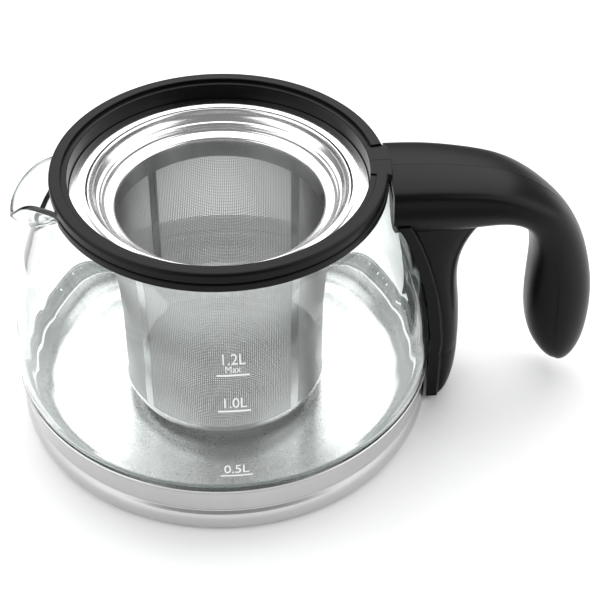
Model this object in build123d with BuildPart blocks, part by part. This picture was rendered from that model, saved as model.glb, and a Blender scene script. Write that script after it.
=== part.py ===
from build123d import *
import math
import os

# A glass tea jug with a lift-out infuser.  Millimetres, +Z up, origin at the centre of the
# standing face.  The spout points along -X and the handle along +X.

# ---- overall heights and radii -------------------------------------------------------------
BODY_R = 79.9            # widest radius of the glass
BAND_TOP_Z = 22.3        # top edge of the polished base band
COLLAR_TOP_Z = 106.1     # top face of the collar ring
COLLAR_R = 60.4          # outer radius of the collar ring
BASKET_R = 38.9          # outer radius of the perforated wall
GLASS_WALL = 2.6         # thickness of the glass
FIT = 0.35               # running clearance round the infuser
EXTRA = 5.0              # overrun of every cutting solid

# ---- base: skirt, pan, heat plate, seal ----------------------------------------------------
BAND_R = 79.5            # outer radius at the top edge of the band
BAND_FOOT_R = 78.4       # outer radius of the band where it meets the foot bead
SKIRT_SHEET = 0.8        # height of the groove flank and clearance of the inner flank
BEAD_TOP_Z = 10.4        # groove between band and foot bead
BEAD_R = 79.1            # outer radius of the foot bead
BEAD_GROOVE = 0.9        # depth of the groove over the bead
FOOT_INNER_R = 74.0      # inner radius of the standing ring
FOOT_SHEET = 1.0         # thickness of the rolled-in foot
PAN_SHEET = 0.8          # thickness of the pan
PAN_FLOOR_Z = 4.0        # upper face of the pan floor
PAN_HEEL_R = 11.0        # inner radius between pan floor and pan wall
PAN_RIM_Z = 15.3         # upper face of the pan rim
PAN_R = 74.0             # inner radius of the pan wall
PLATE_R = 60.0           # radius of the heat plate under the pan
PLATE_CHAMFER = 0.8
SEAL_THICK = 1.2         # seal under the glass edge
SEAL_SIDE = 0.5          # seal between glass and band
SEAL_TOP_Z = 21.9

# ---- glass body ----------------------------------------------------------------------------
GLASS_FOOT_Z = PAN_RIM_Z + SEAL_THICK
SPIGOT_R = 77.2          # glass radius inside the band
SPIGOT_TOP_Z = BAND_TOP_Z + 0.3
GLASS_TOP_Z = 101.3      # rim of the neck
NECK_R = 59.0            # outer radius of the neck
NECK_WALL = 2.4
BODY_CURVE = (           # share of the widest radius against height
    (0.9938, 24.0), (1.0, 29.0), (0.9962, 35.0), (0.9875, 41.0), (0.9787, 47.0), (0.9650, 53.5),
    (0.9487, 59.5), (0.9275, 65.5), (0.9050, 71.4), (0.8774, 77.5), (0.8560, 81.6),
    (0.8260, 86.5), (0.7910, 91.0), (0.7584, 94.6), (0.7400, 97.6))

# ---- spout ---------------------------------------------------------------------------------
SPOUT_WALL = 2.1         # thickness of the beak
CHANNEL_LIFT = 0.6       # overrun of the channel above the rim and past the lip
CHANNEL_REACH = 1.6
SPOUT_SECTIONS = (       # distance out from the axis, half width, rim height, keel height
    (50.0, 21.5, 101.3, 73.0),
    (59.5, 18.0, 101.3, 79.0),
    (65.5, 13.9, 100.6, 83.2),
    (70.5, 10.0, 97.4, 86.0),
    (74.0, 6.9, 93.0, 87.6),
    (75.6, 4.6, 90.6, 88.0))
SPOUT_GAP = 22.0         # half width of the collar opening over the spout

# ---- collar --------------------------------------------------------------------------------
RING_INNER_R = 56.1      # inner edge of the top face
RING_EDGE = 1.2          # outer rounding of the ring
RING_BOTTOM_Z = 102.3    # underside of the ring
RING_STEP = 1.2          # depth of the step inside the top face
SLEEVE_OUTER_R = 56.3    # outside of the sleeve in the neck
SHELF_Z = 98.2           # shelf that carries the infuser
SHELF_INNER_R = 50.6
SHELF_THICK = 1.6
SKIRT_R = 60.8           # outer radius of the clamp skirt
SKIRT_INNER_R = 59.3
SKIRT_BOTTOM_Z = 98.9
SKIRT_GAP = 0.3          # shadow line between ring and skirt
SKIRT_EDGE = 0.5
NOTCH_HALF = 8.6         # half width of the lid hinge notch
HINGE_TOP_Z = 105.4      # top of the hinge block in the notch
HINGE_GAP = 0.15         # gap between hinge block and notch sides
HINGE_REACH = 1.5        # the block runs this far past the skirt into the shells
HINGE_EDGE = 0.7         # rounding of the block
HINGE_POCKET_R = 2.4     # radial depth, width and height of the lug pocket
HINGE_POCKET_W = 10.0
HINGE_POCKET_Z = 0.9

# ---- infuser -------------------------------------------------------------------------------
STEEL = 0.5              # sheet thickness of the infuser
FLANGE_R = 53.6          # outer radius of the flange
FUNNEL_LINE = (          # upper face of the funnel sheet, radius against height, inward
    (48.3, 98.2), (46.7, 98.5), (45.9, 96.4), (43.3, 94.1), (42.3, 93.4), (42.1, 92.3), (38.9, 91.1))
FUNNEL_BEND = 0.55       # bend radius along the funnel
MOUTH_BAND_Z = 82.9      # lower edge of the plain band in the mouth
WALL_TOP_Z = 89.0        # upper edge of the perforated wall
CUP_TOP_Z = 13.4         # top edge of the drawn cup
CUP_FLOOR_Z = 7.4        # underside of the cup
CUP_CORNER = 5.0         # outer corner radius of the cup
DISC_R = 32.0            # radius of the perforated disc
SEAM_WIDTH = 6.0         # overlap of the rolled wall
SEAM_THICK = 0.4
SEAM_ANGLE = 130.0       # where the seam stands, from +X toward +Y

# ---- handle --------------------------------------------------------------------------------
HANDLE_STATIONS = (      # ridge point, underside point, half width, share of the oval section
    ((56.0, 103.1), (56.0, 79.5), 19.5, 0.0),
    ((75.0, 102.7), (75.0, 79.8), 19.2, 0.0),
    ((91.0, 101.0), (91.5, 80.0), 18.1, 0.1),
    ((105.0, 97.8), (103.0, 80.2), 16.8, 0.3),
    ((117.0, 91.6), (110.5, 77.6), 15.4, 0.6),
    ((127.0, 83.0), (114.6, 71.8), 14.2, 0.9),
    ((134.5, 72.0), (116.8, 63.0), 13.5, 1.0),
    ((139.8, 57.5), (117.1, 53.0), 13.2, 1.0),
    ((142.7, 42.5), (117.0, 42.0), 13.2, 1.0),
    ((143.2, 28.5), (117.8, 30.5), 12.9, 1.0),
    ((141.8, 16.5), (120.8, 19.0), 11.4, 1.0),
    ((138.2, 8.0), (127.0, 9.6), 7.6, 1.0),
    ((134.6, 5.2), (131.6, 5.8), 2.2, 1.0))
DOME_HALF = (            # half section of the arm from ridge to underside, in half widths and heights
    (0.0, 1.0), (0.34, 0.975), (0.65, 0.92), (0.875, 0.79), (0.945, 0.47), (0.995, 0.13),
    (0.985, -0.11), (0.90, -0.5), (0.72, -0.84), (0.36, -0.97), (0.0, -1.0))
OVAL_HALF = (            # the same for the hook
    (0.0, 1.0), (0.34, 0.95), (0.64, 0.79), (0.86, 0.52), (0.975, 0.22), (1.0, 0.02),
    (0.985, -0.16), (0.89, -0.52), (0.68, -0.81), (0.35, -0.97), (0.0, -1.0))
CREASE = (               # joint between the shells and the inner moulding, from the root out
    (50.0, 89.7), (80.0, 90.0), (92.0, 90.1), (102.0, 89.9), (109.0, 89.0), (115.0, 86.6),
    (121.0, 82.0), (126.5, 76.0), (130.8, 69.0), (134.2, 60.5), (136.6, 51.0), (137.9, 40.0),
    (138.2, 28.0), (137.2, 17.5), (134.0, 8.0), (130.0, 0.0))
INNER_INSET = 0.9        # the inner moulding stands inside the shells by this much
STRUT_OUTLINE = (        # outer line of the strut from the arch down to its foot
    (104.0, 84.0), (97.5, 79.0), (92.4, 72.5), (89.2, 65.0), (88.2, 57.0), (89.4, 46.0), (90.6, 34.0),
    (91.0, 22.0), (90.2, 12.5), (87.0, 6.6), (80.0, 3.0))
STRUT_BACK_R = 70.0      # inner end of the strut outline
STRUT_HALF = 18.5        # half width of the strut plate
STRUT_PLATE = 6.5        # thickness of the plate that follows the glass
NOSE_HALF = 15.5         # half width of the rounded rib down the plate
NOSE_AXIS_X = 74.0       # where the rib is widest
WEB_SECTION = (          # half section of the web under the arm
    (17.4, 90.1), (15.6, 84.5), (4.4, 58.0), (2.6, 55.0), (0.0, 54.0))
PAD_THICK = 0.8          # pad between strut and glass
PAD_HALF = 12.0          # half width of the pad
PAD_LOW_Z = 27.0
PAD_HIGH_Z = 77.0
STRUT_AIR = 0.3          # air between strut and glass beside the pad
CORE_HALF = 1.5          # half thickness of the steel core
CORE_OUTLINE = (
    (66.0, 92.8), (66.0, 99.0), (86.0, 97.8), (103.0, 94.6), (113.0, 90.4), (117.0, 87.6),
    (108.0, 91.2), (98.0, 92.8))
SCREW_SPOTS = ((71.0, 95.9), (87.0, 95.3), (101.0, 93.9))
SCREW_R = 1.3
SCREW_HEAD_R = 2.7
SCREW_SEAT_Y = 9.0       # seat of the screw head in the back shell
SCREW_HEAD_H = 2.2
SCREW_TIP_Y = 8.0        # depth of the screw in the front shell


def save(part, name):
    part.label = name
    export_step(part, f"parts/{name}.step")


os.makedirs("parts", exist_ok=True)

body_curve = [(share * BODY_R, z) for share, z in BODY_CURVE]
inner_curve = [(r - GLASS_WALL, z) for r, z in body_curve]
spigot_bore_r = PAN_R + PAN_SHEET
band_inner_r = SPIGOT_R + SEAL_SIDE
half_planes = ((-1.0, "front"), (1.0, "back"))

# ---- shared envelopes ----------------------------------------------------------------------
with BuildPart() as glass_envelope:
    with BuildSketch(Plane.XZ):
        with BuildLine():
            Polyline((0, GLASS_FOOT_Z), (SPIGOT_R, GLASS_FOOT_Z), (SPIGOT_R, SPIGOT_TOP_Z),
                     (body_curve[0][0], SPIGOT_TOP_Z), body_curve[0])
            Spline(*body_curve)
            Polyline(body_curve[-1], (NECK_R, GLASS_TOP_Z), (0, GLASS_TOP_Z), (0, GLASS_FOOT_Z))
        make_face()
    revolve(axis=Axis.Z)

with BuildPart() as glass_bore:
    bore_r = NECK_R - NECK_WALL
    with BuildSketch(Plane.XZ):
        with BuildLine():
            Polyline((0, GLASS_FOOT_Z - EXTRA), (spigot_bore_r, GLASS_FOOT_Z - EXTRA),
                     (spigot_bore_r, SPIGOT_TOP_Z), inner_curve[0])
            Spline(*inner_curve)
            Polyline(inner_curve[-1], (bore_r, GLASS_TOP_Z), (bore_r, GLASS_TOP_Z + EXTRA),
                     (0, GLASS_TOP_Z + EXTRA), (0, GLASS_FOOT_Z - EXTRA))
        make_face()
    revolve(axis=Axis.Z)


def spout_loft(inset, lift, reach):
    """Solid beak lofted through half ellipses, shrunk by inset, raised by lift, longer by reach."""
    last = len(SPOUT_SECTIONS) - 1
    with BuildPart() as beak:
        for i, (out, half, rim_z, keel_z) in enumerate(SPOUT_SECTIONS):
            x = out + (reach if i == last else 0.0)
            deep = rim_z + lift - keel_z - inset
            with BuildSketch(Plane(origin=(-x, 0, rim_z + lift), x_dir=(0, 1, 0), z_dir=(1, 0, 0))):
                Ellipse(half - inset, deep)
                Rectangle(2 * half, deep, align=(Align.CENTER, Align.MAX), mode=Mode.INTERSECT)
        loft()
    return beak.part


spout_outside = spout_loft(0.0, 0.0, 0.0)
spout_channel = spout_loft(SPOUT_WALL, CHANNEL_LIFT, CHANNEL_REACH)

# ---- glass body ----------------------------------------------------------------------------
with BuildPart() as glass_body:
    add(glass_envelope.part)
    add(spout_outside)
    add(glass_bore.part, mode=Mode.SUBTRACT)
    add(spout_channel, mode=Mode.SUBTRACT)
save(glass_body.part, "glass_body")

# ---- base ----------------------------------------------------------------------------------
with BuildPart() as base_skirt:
    bead_end_r = BAND_FOOT_R - SKIRT_SHEET
    groove_r = BAND_FOOT_R - BEAD_GROOVE
    flank_r = groove_r - SKIRT_SHEET
    with BuildSketch(Plane.XZ):
        with BuildLine():
            Line((FOOT_INNER_R, 0), (bead_end_r, 0))
            Spline((bead_end_r, 0), (BEAD_R, BEAD_TOP_Z / 2), (groove_r, BEAD_TOP_Z))
            Polyline((groove_r, BEAD_TOP_Z), (BAND_FOOT_R, BEAD_TOP_Z + SKIRT_SHEET),
                     (BAND_R, BAND_TOP_Z), (band_inner_r, BAND_TOP_Z),
                     (band_inner_r, PAN_RIM_Z - PAN_SHEET), (flank_r, BEAD_TOP_Z + SKIRT_SHEET),
                     (flank_r, FOOT_SHEET), (FOOT_INNER_R, FOOT_SHEET), (FOOT_INNER_R, 0))
        make_face()
    revolve(axis=Axis.Z)
save(base_skirt.part, "base_skirt")

with BuildPart() as base_pan:
    heel_z = PAN_FLOOR_Z + PAN_HEEL_R
    heel_r = PAN_R - PAN_HEEL_R
    with BuildSketch(Plane.XZ):
        with BuildLine():
            Line((0, PAN_FLOOR_Z), (heel_r, PAN_FLOOR_Z))
            CenterArc((heel_r, heel_z), PAN_HEEL_R, 270, 90)
            Polyline((PAN_R, heel_z), (PAN_R, PAN_RIM_Z), (band_inner_r, PAN_RIM_Z),
                     (band_inner_r, PAN_RIM_Z - PAN_SHEET), (spigot_bore_r, PAN_RIM_Z - PAN_SHEET))
            Line((spigot_bore_r, PAN_RIM_Z - PAN_SHEET), (spigot_bore_r, heel_z - PAN_SHEET))
            Spline((spigot_bore_r, heel_z - PAN_SHEET),
                   (heel_r + (PAN_HEEL_R + PAN_SHEET) * math.cos(math.pi / 4),
                    heel_z - (PAN_HEEL_R + PAN_SHEET) * math.sin(math.pi / 4)),
                   (heel_r, PAN_FLOOR_Z - PAN_SHEET))
            Polyline((heel_r, PAN_FLOOR_Z - PAN_SHEET), (0, PAN_FLOOR_Z - PAN_SHEET), (0, PAN_FLOOR_Z))
        make_face()
    revolve(axis=Axis.Z)
save(base_pan.part, "base_pan")

with BuildPart() as heat_plate:
    with BuildSketch(Plane.XY):
        Circle(PLATE_R)
    extrude(amount=PAN_FLOOR_Z - PAN_SHEET)
    chamfer(heat_plate.edges().group_by(Axis.Z)[0], PLATE_CHAMFER)
save(heat_plate.part, "heat_plate")

with BuildPart() as base_seal:
    with BuildSketch(Plane.XZ):
        with BuildLine():
            Polyline((spigot_bore_r, PAN_RIM_Z), (band_inner_r, PAN_RIM_Z), (band_inner_r, SEAL_TOP_Z),
                     (SPIGOT_R, SEAL_TOP_Z), (SPIGOT_R, GLASS_FOOT_Z), (spigot_bore_r, GLASS_FOOT_Z),
                     close=True)
        make_face()
    revolve(axis=Axis.Z)
save(base_seal.part, "base_seal")

# ---- collar --------------------------------------------------------------------------------
with BuildPart() as spout_gap:
    gap_low = SKIRT_BOTTOM_Z - EXTRA
    with BuildSketch(Plane.XY.offset(gap_low)):
        Rectangle(BODY_R, 2 * SPOUT_GAP, align=(Align.MAX, Align.CENTER))
    extrude(amount=RING_BOTTOM_Z - gap_low)

with BuildPart() as collar_ring:
    wall_r = FLANGE_R + FIT
    step_z = COLLAR_TOP_Z - RING_STEP
    with BuildSketch(Plane.XZ):
        with BuildLine():
            Polyline((RING_INNER_R, COLLAR_TOP_Z), (COLLAR_R, COLLAR_TOP_Z), (COLLAR_R, RING_BOTTOM_Z),
                     (SLEEVE_OUTER_R, RING_BOTTOM_Z), (SLEEVE_OUTER_R, SHELF_Z - SHELF_THICK),
                     (SHELF_INNER_R, SHELF_Z - SHELF_THICK), (SHELF_INNER_R, SHELF_Z),
                     (wall_r, SHELF_Z), (wall_r, step_z), (RING_INNER_R, step_z), close=True)
        make_face()
    revolve(axis=Axis.Z)
    rim_edges = collar_ring.edges().filter_by(GeomType.CIRCLE).group_by(SortBy.RADIUS)[-1]
    fillet(rim_edges.group_by(Axis.Z)[-1], RING_EDGE)
    with BuildSketch(Plane.XY.offset(RING_BOTTOM_Z)):
        Rectangle(BODY_R, 2 * NOTCH_HALF, align=(Align.MIN, Align.CENTER))
    extrude(amount=COLLAR_TOP_Z - RING_BOTTOM_Z + EXTRA, mode=Mode.SUBTRACT)
save(collar_ring.part, "collar_ring")

with BuildPart() as collar_skirt:
    gap_angle = math.asin(SPOUT_GAP / SKIRT_R)
    end_ray = (-math.cos(gap_angle), -math.sin(gap_angle), 0)
    with BuildSketch(Plane(origin=(0, 0, 0), x_dir=end_ray, z_dir=(end_ray[1], -end_ray[0], 0))):
        with Locations((SKIRT_INNER_R, SKIRT_BOTTOM_Z)):
            Rectangle(SKIRT_R - SKIRT_INNER_R, RING_BOTTOM_Z - SKIRT_GAP - SKIRT_BOTTOM_Z,
                      align=(Align.MIN, Align.MIN))
        fillet(vertices().group_by(Axis.X)[-1], SKIRT_EDGE)
    revolve(axis=Axis.Z, revolution_arc=math.degrees(2 * (math.pi - gap_angle)))
save(collar_skirt.part, "collar_skirt")

with BuildPart() as neck_gasket:
    with BuildSketch(Plane.XY.offset(GLASS_TOP_Z)):
        Circle(NECK_R)
        Circle(SLEEVE_OUTER_R + FIT, mode=Mode.SUBTRACT)
    extrude(amount=RING_BOTTOM_Z - GLASS_TOP_Z)
    add(spout_gap.part, mode=Mode.SUBTRACT)
save(neck_gasket.part, "neck_gasket")

# ---- infuser -------------------------------------------------------------------------------
basket_bore_r = BASKET_R - STEEL

with BuildPart() as infuser_funnel:
    mouth_r = basket_bore_r - STEEL
    flange_z = SHELF_Z + STEEL
    funnel_path = [(FLANGE_R, flange_z), (SHELF_INNER_R - STEEL, flange_z), *FUNNEL_LINE,
                   (mouth_r, FUNNEL_LINE[-1][1] - STEEL), (mouth_r, MOUTH_BAND_Z)]
    with BuildSketch(Plane.XZ):
        with BuildLine():
            FilletPolyline(*funnel_path, radius=FUNNEL_BEND)
            offset(amount=STEEL, side=Side.LEFT)
        make_face()
    revolve(axis=Axis.Z)
save(infuser_funnel.part, "infuser_funnel")

with BuildPart() as infuser_wall:
    with BuildSketch(Plane.XY.offset(CUP_TOP_Z)):
        Circle(BASKET_R)
        Circle(basket_bore_r, mode=Mode.SUBTRACT)
    extrude(amount=WALL_TOP_Z - CUP_TOP_Z)
save(infuser_wall.part, "infuser_wall")

with BuildPart() as infuser_seam:
    with BuildSketch(Plane.XY.offset(CUP_TOP_Z)):
        Circle(BASKET_R + SEAM_THICK)
        Circle(BASKET_R, mode=Mode.SUBTRACT)
        with Locations(Rotation(0, 0, SEAM_ANGLE)):
            Rectangle(2 * BASKET_R, SEAM_WIDTH, align=(Align.MIN, Align.CENTER), mode=Mode.INTERSECT)
    extrude(amount=WALL_TOP_Z - CUP_TOP_Z)
save(infuser_seam.part, "infuser_seam")

with BuildPart() as infuser_cup:
    with BuildSketch(Plane.XY.offset(CUP_FLOOR_Z)):
        Circle(BASKET_R)
    extrude(amount=CUP_TOP_Z - CUP_FLOOR_Z)
    fillet(infuser_cup.edges().group_by(Axis.Z)[0], CUP_CORNER)
    offset(amount=-STEEL, openings=infuser_cup.faces().sort_by(Axis.Z)[-1])
    with BuildSketch(Plane.XY.offset(CUP_FLOOR_Z)):
        Circle(DISC_R)
    extrude(amount=STEEL, mode=Mode.SUBTRACT)
save(infuser_cup.part, "infuser_cup")

with BuildPart() as infuser_disc:
    with BuildSketch(Plane.XY.offset(CUP_FLOOR_Z)):
        Circle(DISC_R)
    extrude(amount=STEEL)
save(infuser_disc.part, "infuser_disc")

# ---- handle envelopes ----------------------------------------------------------------------
with BuildPart() as collar_envelope:
    with BuildSketch(Plane.XY.offset(SKIRT_BOTTOM_Z)):
        Circle(SKIRT_R)
    extrude(amount=RING_BOTTOM_Z - SKIRT_BOTTOM_Z)
    with BuildSketch(Plane.XY.offset(RING_BOTTOM_Z)):
        Circle(COLLAR_R)
    extrude(amount=COLLAR_TOP_Z - RING_BOTTOM_Z)

with BuildPart() as glass_space:
    with BuildSketch(Plane.XZ):
        with BuildLine():
            Polyline((0, 0), (BAND_R + STRUT_AIR, 0), (BAND_R + STRUT_AIR, SPIGOT_TOP_Z),
                     (body_curve[0][0] + STRUT_AIR, body_curve[0][1]))
            Spline(*[(r + STRUT_AIR, z) for r, z in body_curve])
            Polyline((body_curve[-1][0] + STRUT_AIR, body_curve[-1][1]),
                     (NECK_R + STRUT_AIR, SKIRT_BOTTOM_Z), (0, SKIRT_BOTTOM_Z), (0, 0))
        make_face()
    revolve(axis=Axis.Z)

with BuildPart() as under_crease:
    crease_low = (CREASE[0][0], -EXTRA)
    with BuildSketch(Plane.XZ):
        with BuildLine():
            Spline(*CREASE)
            Polyline(CREASE[-1], (CREASE[-1][0], -EXTRA), crease_low, CREASE[0])
        make_face()
    extrude(amount=2 * HANDLE_STATIONS[0][2], both=True)


def handle_loft(inset):
    """Handle body lofted through closed smooth sections between ridge and underside."""
    with BuildPart() as body:
        for ridge, under, half, oval in HANDLE_STATIONS:
            rise = Vector(ridge[0] - under[0], 0, ridge[1] - under[1])
            middle = ((ridge[0] + under[0]) / 2, 0, (ridge[1] + under[1]) / 2)
            normal = Vector(0, 1, 0).cross(rise)
            wide = half - inset
            high = rise.length / 2 - inset / 2
            side = [(wide * (a + oval * (c - a)), high * (b + oval * (d - b)))
                    for (a, b), (c, d) in zip(DOME_HALF, OVAL_HALF)]
            other = [(-across, up) for across, up in reversed(side[1:-1])]
            with BuildSketch(Plane(origin=middle, x_dir=(0, 1, 0), z_dir=normal)):
                with BuildLine():
                    Spline(*side, *other, periodic=True)
                make_face()
        loft()
    return body.part


outer_body = handle_loft(0.0)
inner_body = handle_loft(INNER_INSET)

with BuildPart() as hinge_block:
    block_half = NOTCH_HALF - HINGE_GAP
    block_r = FLANGE_R + FIT
    with BuildSketch(Plane.XY.offset(RING_BOTTOM_Z)):
        Circle(SKIRT_R + HINGE_REACH)
        Circle(block_r, mode=Mode.SUBTRACT)
        Rectangle(BODY_R, 2 * block_half, align=(Align.MIN, Align.CENTER), mode=Mode.INTERSECT)
    extrude(amount=HINGE_TOP_Z - RING_BOTTOM_Z)
    top_edges = hinge_block.edges().group_by(Axis.Z)[-1].filter_by(GeomType.LINE)
    fillet(top_edges, HINGE_EDGE)
    with BuildSketch(Plane.XY.offset(HINGE_TOP_Z - HINGE_POCKET_Z)):
        with Locations((block_r, 0)):
            Rectangle(2 * HINGE_POCKET_R, HINGE_POCKET_W)
    extrude(amount=HINGE_POCKET_Z, mode=Mode.SUBTRACT)

# ---- handle core and screws ----------------------------------------------------------------
screw_flip = Plane.XZ.offset(-SCREW_SEAT_Y)

with BuildPart() as handle_screws:
    with BuildSketch(Plane.XZ.offset(SCREW_TIP_Y)):
        with Locations(*SCREW_SPOTS):
            Circle(SCREW_R)
    extrude(amount=-(SCREW_TIP_Y + SCREW_SEAT_Y))
    with BuildSketch(screw_flip):
        with Locations(*SCREW_SPOTS):
            Circle(SCREW_HEAD_R)
    extrude(amount=-SCREW_HEAD_H)
save(handle_screws.part, "handle_screws")

with BuildPart() as screw_wells:
    with BuildSketch(screw_flip):
        with Locations(*SCREW_SPOTS):
            Circle(SCREW_HEAD_R)
    extrude(amount=-2 * HANDLE_STATIONS[0][2])

with BuildPart() as handle_core:
    with BuildSketch(Plane.XZ):
        Polygon(*CORE_OUTLINE, align=None)
    extrude(amount=CORE_HALF, both=True)
    add(handle_screws.part, mode=Mode.SUBTRACT)
save(handle_core.part, "handle_core")

# ---- handle shells -------------------------------------------------------------------------
with BuildPart() as shell_body:
    add(outer_body)
    add(under_crease.part, mode=Mode.SUBTRACT)
    add(collar_envelope.part, mode=Mode.SUBTRACT)
    add(glass_space.part, mode=Mode.SUBTRACT)
    add(hinge_block.part)
    add(handle_core.part, mode=Mode.SUBTRACT)
    add(handle_screws.part, mode=Mode.SUBTRACT)

for side, side_name in half_planes:
    with BuildPart() as half_shell:
        add(shell_body.part)
        split(bisect_by=Plane.XZ, keep=Keep.TOP if side < 0 else Keep.BOTTOM)
        if side > 0:
            add(screw_wells.part, mode=Mode.SUBTRACT)
    save(half_shell.part, f"handle_{side_name}_shell")

with BuildPart() as screw_plugs:
    add(screw_wells.part)
    add(handle_screws.part, mode=Mode.SUBTRACT)
    add(outer_body, mode=Mode.INTERSECT)
save(screw_plugs.part, "screw_plugs")

# ---- inner moulding with strut -------------------------------------------------------------
with BuildPart() as strut_side:
    strut_foot = STRUT_OUTLINE[-1]
    with BuildSketch(Plane.XZ):
        with BuildLine():
            Spline(*STRUT_OUTLINE)
            Polyline(strut_foot, (STRUT_BACK_R, strut_foot[1]), CREASE[0], (CREASE[0][0], COLLAR_TOP_Z),
                     (STRUT_OUTLINE[0][0], COLLAR_TOP_Z), STRUT_OUTLINE[0])
        make_face()
    extrude(amount=2 * STRUT_HALF, both=True)

with BuildPart() as strut_plate:
    with BuildSketch(Plane.XZ):
        with BuildLine():
            Spline(*[(r + STRUT_PLATE, z) for r, z in body_curve])
            Polyline((body_curve[-1][0] + STRUT_PLATE, body_curve[-1][1]), (0, body_curve[-1][1]),
                     (0, strut_foot[1]), (body_curve[0][0] + STRUT_PLATE, strut_foot[1]),
                     (body_curve[0][0] + STRUT_PLATE, body_curve[0][1]))
        make_face()
    revolve(axis=Axis.Z)
    with BuildSketch(Plane.XY):
        Rectangle(NOSE_AXIS_X + STRUT_HALF, 2 * STRUT_HALF, align=(Align.MIN, Align.CENTER))
    extrude(amount=COLLAR_TOP_Z, mode=Mode.INTERSECT)

with BuildPart() as strut_nose:
    for x, z in reversed(STRUT_OUTLINE):
        with BuildSketch(Plane.XY.offset(z)):
            with Locations((NOSE_AXIS_X, 0)):
                Ellipse(x - NOSE_AXIS_X, NOSE_HALF)
    loft()

with BuildPart() as arm_web:
    web_side = [(-half, z) for half, z in reversed(WEB_SECTION[:-1])]
    with BuildSketch(Plane.YZ.offset(CREASE[0][0])):
        Polygon(*WEB_SECTION, *web_side, align=None)
    extrude(amount=STRUT_OUTLINE[0][0] - CREASE[0][0])

with BuildPart() as strut:
    add(strut_plate.part)
    add(strut_nose.part)
    add(arm_web.part)
    add(strut_side.part, mode=Mode.INTERSECT)
    add(glass_space.part, mode=Mode.SUBTRACT)
    add(under_crease.part, mode=Mode.INTERSECT)

with BuildPart() as inner_moulding:
    add(inner_body)
    add(under_crease.part, mode=Mode.INTERSECT)
    add(glass_space.part, mode=Mode.SUBTRACT)
    add(strut.part)
    add(collar_envelope.part, mode=Mode.SUBTRACT)

with BuildPart() as strut_pad:
    with BuildSketch(Plane.XZ):
        with BuildLine():
            Spline(*[(r, z) for r, z in body_curve])
            Polyline(body_curve[-1], (body_curve[-1][0] + PAD_THICK, body_curve[-1][1]))
            Spline(*[(r + PAD_THICK, z) for r, z in reversed(body_curve)])
            Line((body_curve[0][0] + PAD_THICK, body_curve[0][1]), body_curve[0])
        make_face()
    revolve(axis=Axis.Z)
    with BuildSketch(Plane.XY.offset(PAD_LOW_Z)):
        Rectangle(BODY_R + EXTRA, 2 * PAD_HALF, align=(Align.MIN, Align.CENTER))
    extrude(amount=PAD_HIGH_Z - PAD_LOW_Z, mode=Mode.INTERSECT)
save(strut_pad.part, "strut_pad")

with BuildPart() as handle_inner:
    add(inner_moulding.part)
    add(strut_pad.part, mode=Mode.SUBTRACT)
save(handle_inner.part, "handle_inner")
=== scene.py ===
import math
import bmesh
import bpy
import numpy as np
from bpy.props import FloatProperty, FloatVectorProperty, PointerProperty
from mathutils import Matrix, Vector


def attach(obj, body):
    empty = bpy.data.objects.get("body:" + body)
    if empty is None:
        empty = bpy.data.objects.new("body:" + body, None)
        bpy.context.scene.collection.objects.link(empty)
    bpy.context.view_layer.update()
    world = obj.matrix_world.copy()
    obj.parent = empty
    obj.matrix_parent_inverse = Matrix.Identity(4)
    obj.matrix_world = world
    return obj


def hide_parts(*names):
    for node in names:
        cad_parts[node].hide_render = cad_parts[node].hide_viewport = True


bl_info = {
    "name": "Glass Tea Jug",
    "version": (1, 0, 0),
    "blender": (4, 5, 0),
    "location": "View3D > Sidebar > Tea Jug",
    "description": "Builds the looks of a glass tea jug with a lift-out infuser round its CAD frame",
    "category": "Add Mesh",
}

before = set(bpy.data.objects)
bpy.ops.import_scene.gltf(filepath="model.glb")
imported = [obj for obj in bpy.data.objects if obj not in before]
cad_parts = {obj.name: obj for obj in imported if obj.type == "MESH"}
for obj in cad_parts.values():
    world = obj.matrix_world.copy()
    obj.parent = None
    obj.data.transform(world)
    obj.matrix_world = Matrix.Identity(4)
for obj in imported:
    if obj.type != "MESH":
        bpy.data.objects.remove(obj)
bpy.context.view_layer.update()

MM = 0.001
TURN = 2 * math.pi
SEGMENTS = 224           # steps round a turned piece
JUG = "jug"
INFUSER = "infuser"


# ---- meshes --------------------------------------------------------------------------------
def finish_piece(obj, body, material, replaces=(), sharp=38.0):
    """Merges doubles, turns faces outward, shades smooth below the sharp angle, and hangs the
    piece on its body."""
    work = bmesh.new()
    work.from_mesh(obj.data)
    bmesh.ops.remove_doubles(work, verts=work.verts, dist=2e-6)
    bmesh.ops.recalc_face_normals(work, faces=work.faces)
    work.to_mesh(obj.data)
    work.free()
    obj.data.shade_smooth()
    obj.data.set_sharp_from_angle(angle=math.radians(sharp))
    obj.data.materials.clear()
    obj.data.materials.append(material)
    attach(obj, body)
    if replaces:
        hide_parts(*replaces)
    return obj


def mesh_object(name, points, faces):
    """Object of the given points, in metres, and faces."""
    mesh = bpy.data.meshes.new(name)
    mesh.from_pydata(np.asarray(points).reshape(-1, 3).tolist(), [], faces)
    obj = bpy.data.objects.new(name, mesh)
    bpy.context.scene.collection.objects.link(obj)
    return obj


def grid_faces(rows, cols, wrap_rows, wrap_cols):
    """Quads of a grid: each joins a point to its neighbours in the next row and next column,
    and the last row or column joins the first where it wraps."""
    i = np.arange(rows if wrap_rows else rows - 1)
    j = np.arange(cols if wrap_cols else cols - 1)
    i, j = np.meshgrid(i, j, indexing="ij")
    down, right = (i + 1) % rows, (j + 1) % cols
    quads = np.stack([i * cols + j, i * cols + right, down * cols + right, down * cols + j], -1)
    return quads.reshape(-1, 4)


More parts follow.
